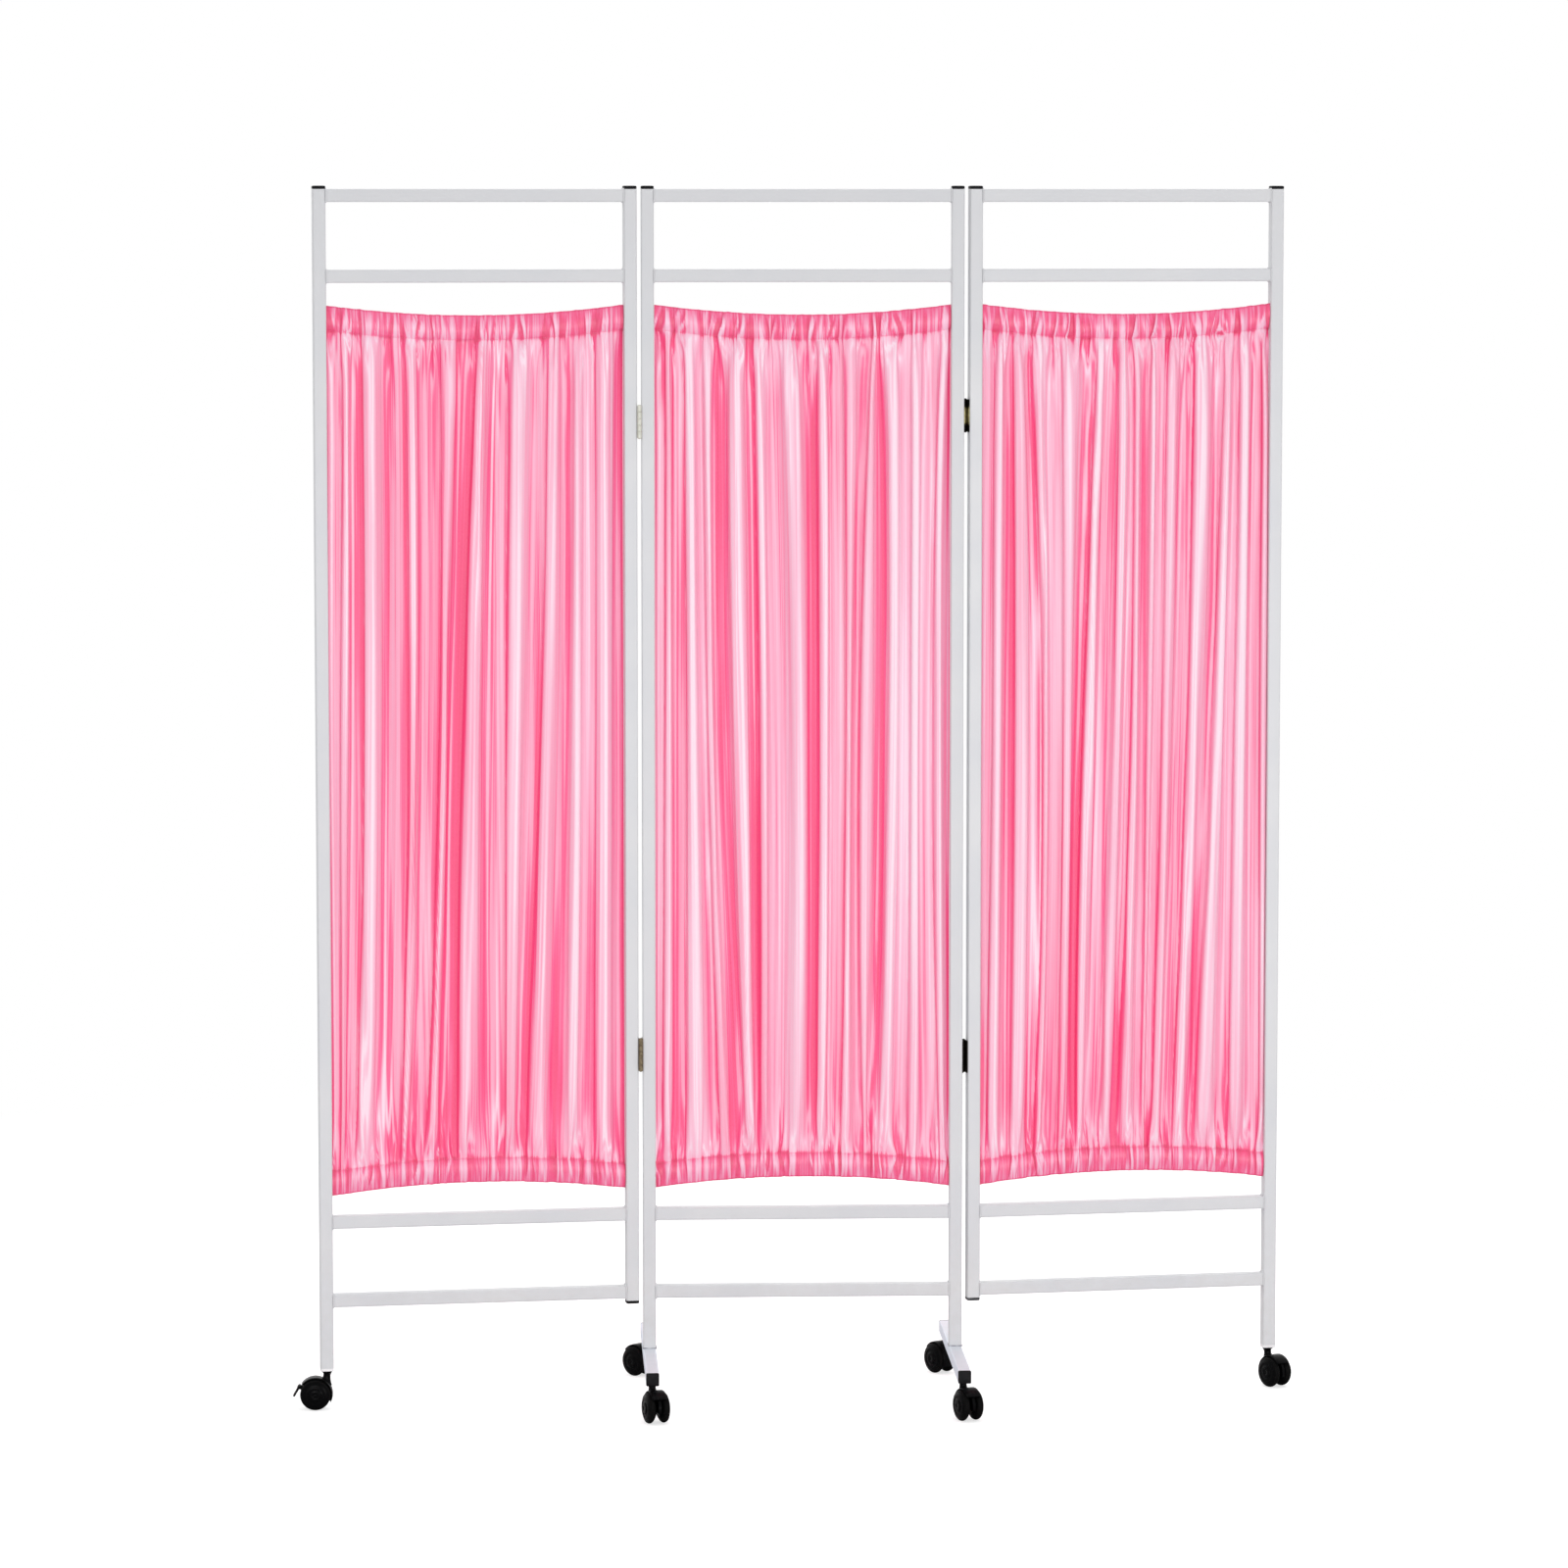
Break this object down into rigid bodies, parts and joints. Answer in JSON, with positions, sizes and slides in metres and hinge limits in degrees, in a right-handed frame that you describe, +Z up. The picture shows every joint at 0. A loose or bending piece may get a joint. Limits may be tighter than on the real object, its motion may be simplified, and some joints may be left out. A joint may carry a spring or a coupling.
{
  "type": "ward privacy screen",
  "caption": "Folding ward screen on casters: hinged frames of white square tube, each with a gathered pink satin curtain, on cross feet with swivelling twin wheels.",
  "frame": {"origin": "on the floor, under the centre of the middle panel; within the tolerance also the bottom centre of the whole box", "axes": "+Z up, +X to the viewer's right along the middle panel, +Y away from the viewer along the cross feet"},
  "size_m": [1.4949, 0.4219, 1.8],
  "materials": {
    "white_enamel": "satin white powder coat on steel tube",
    "black_plastic": "moulded black plastic with a fine grain",
    "wheel_black": "semi-gloss black nylon wheels",
    "pink_satin": "pink satin, gathered, glossy on the folds",
    "curtain_wire": "spring wire with a white sleeve",
    "hinge_painted": "cream paint over brass, thin on the knuckles",
    "hinge_bronze": "dull bronze-coloured plating",
    "hinge_brass": "tarnished brass with dark ends",
    "hinge_dark": "dark browned steel"
  },
  "bodies": {
    "middle_panel": {"middle_rail_top": "white_enamel", "middle_rail_second": "white_enamel", "middle_rail_third": "white_enamel", "middle_rail_lowest": "white_enamel", "middle_curtain": "pink_satin", "middle_wire_top": "curtain_wire", "middle_wire_bottom": "curtain_wire", "middle_plug_left": "black_plastic", "middle_plug_right": "black_plastic", "middle_stand_left": "white_enamel", "middle_stand_right": "white_enamel", "foot_plug_left_front": "black_plastic", "foot_plug_left_rear": "black_plastic", "foot_plug_right_front": "black_plastic", "foot_plug_right_rear": "black_plastic", "hinge_left_upper_fixed_leaf": "hinge_painted", "hinge_left_lower_fixed_leaf": "hinge_bronze", "hinge_right_upper_fixed_leaf": "hinge_brass", "hinge_right_lower_fixed_leaf": "hinge_dark"},
    "left_wing": {"left_rail_top": "white_enamel", "left_rail_second": "white_enamel", "left_rail_third": "white_enamel", "left_rail_lowest": "white_enamel", "left_curtain": "pink_satin", "left_wire_top": "curtain_wire", "left_wire_bottom": "curtain_wire", "left_plug_left": "black_plastic", "left_plug_right": "black_plastic", "left_leg_outer": "white_enamel", "left_leg_inner": "white_enamel", "left_plug_inner_bottom": "black_plastic", "hinge_left_upper_wing_leaf": "hinge_painted", "hinge_left_lower_wing_leaf": "hinge_bronze"},
    "right_wing": {"right_rail_top": "white_enamel", "right_rail_second": "white_enamel", "right_rail_third": "white_enamel", "right_rail_lowest": "white_enamel", "right_curtain": "pink_satin", "right_wire_top": "curtain_wire", "right_wire_bottom": "curtain_wire", "right_plug_left": "black_plastic", "right_plug_right": "black_plastic", "right_leg_outer": "white_enamel", "right_leg_inner": "white_enamel", "right_plug_inner_bottom": "black_plastic", "hinge_right_upper_wing_leaf": "hinge_brass", "hinge_right_lower_wing_leaf": "hinge_dark"},
    "caster_left_outer_fork": {"caster_left_outer_housing": "black_plastic"},
    "caster_left_outer_wheel_pair": {"caster_left_outer_wheels": "wheel_black"},
    "caster_right_outer_fork": {"caster_right_outer_housing": "black_plastic"},
    "caster_right_outer_wheel_pair": {"caster_right_outer_wheels": "wheel_black"},
    "caster_front_left_fork": {"caster_front_left_housing": "black_plastic"},
    "caster_front_left_wheel_pair": {"caster_front_left_wheels": "wheel_black"},
    "caster_front_right_fork": {"caster_front_right_housing": "black_plastic"},
    "caster_front_right_wheel_pair": {"caster_front_right_wheels": "wheel_black"},
    "caster_rear_left_fork": {"caster_rear_left_housing": "black_plastic"},
    "caster_rear_left_wheel_pair": {"caster_rear_left_wheels": "wheel_black"},
    "caster_rear_right_fork": {"caster_rear_right_housing": "black_plastic"},
    "caster_rear_right_wheel_pair": {"caster_rear_right_wheels": "wheel_black"},
    "brake_lever": {"caster_left_outer_brake_lever": "black_plastic"}
  },
  "joints": [
    {"name": "left_wing_fold", "type": "hinge", "parent": "middle_panel", "child": "left_wing", "pos_m": [-0.2403, -0.0115, 0.985], "axis": [0, 0, 1], "range_deg": [-14, 141.7]},
    {"name": "right_wing_fold", "type": "hinge", "parent": "middle_panel", "child": "right_wing", "pos_m": [0.2403, 0.0115, 0.985], "axis": [0, 0, 1], "range_deg": [-14.8, 140.9]},
    {"name": "caster_left_outer_swivel", "type": "hinge", "parent": "left_wing", "child": "caster_left_outer_fork", "pos_m": [-0.70627, -0.0596, 0.06], "axis": [0, 0, 1], "continuous": true},
    {"name": "caster_left_outer_roll", "type": "hinge", "parent": "caster_left_outer_fork", "child": "caster_left_outer_wheel_pair", "pos_m": [-0.72327, -0.0596, 0.0225], "axis": [0, -1, 0], "continuous": true},
    {"name": "caster_right_outer_swivel", "type": "hinge", "parent": "right_wing", "child": "caster_right_outer_fork", "pos_m": [0.70555, 0.0661, 0.06], "axis": [0, 0, 1], "continuous": true},
    {"name": "caster_right_outer_roll", "type": "hinge", "parent": "caster_right_outer_fork", "child": "caster_right_outer_wheel_pair", "pos_m": [0.71481, 0.05184, 0.0225], "axis": [0.8387, 0.5446, 0], "continuous": true},
    {"name": "caster_front_left_swivel", "type": "hinge", "parent": "middle_panel", "child": "caster_front_left_fork", "pos_m": [-0.228, -0.17, 0.06], "axis": [0, 0, 1], "continuous": true},
    {"name": "caster_front_left_roll", "type": "hinge", "parent": "caster_front_left_fork", "child": "caster_front_left_wheel_pair", "pos_m": [-0.22303, -0.18626, 0.0225], "axis": [0.9563, 0.2924, 0], "continuous": true},
    {"name": "caster_front_right_swivel", "type": "hinge", "parent": "middle_panel", "child": "caster_front_right_fork", "pos_m": [0.228, -0.17, 0.06], "axis": [0, 0, 1], "continuous": true},
    {"name": "caster_front_right_roll", "type": "hinge", "parent": "caster_front_right_fork", "child": "caster_front_right_wheel_pair", "pos_m": [0.23437, -0.18576, 0.0225], "axis": [0.9272, 0.3746, 0], "continuous": true},
    {"name": "caster_rear_left_swivel", "type": "hinge", "parent": "middle_panel", "child": "caster_rear_left_fork", "pos_m": [-0.228, 0.17, 0.06], "axis": [0, 0, 1], "continuous": true},
    {"name": "caster_rear_left_roll", "type": "hinge", "parent": "caster_rear_left_fork", "child": "caster_rear_left_wheel_pair", "pos_m": [-0.24002, 0.18202, 0.0225], "axis": [-0.7071, -0.7071, 0], "continuous": true},
    {"name": "caster_rear_right_swivel", "type": "hinge", "parent": "middle_panel", "child": "caster_rear_right_fork", "pos_m": [0.228, 0.17, 0.06], "axis": [0, 0, 1], "continuous": true},
    {"name": "caster_rear_right_roll", "type": "hinge", "parent": "caster_rear_right_fork", "child": "caster_rear_right_wheel_pair", "pos_m": [0.21874, 0.18426, 0.0225], "axis": [-0.8387, -0.5446, 0], "continuous": true},
    {"name": "brake_lever_tip", "type": "hinge", "parent": "caster_left_outer_fork", "child": "brake_lever", "pos_m": [-0.74692, -0.0596, 0.03353], "axis": [0, 1, 0], "range_deg": [0, 35]}
  ]
}
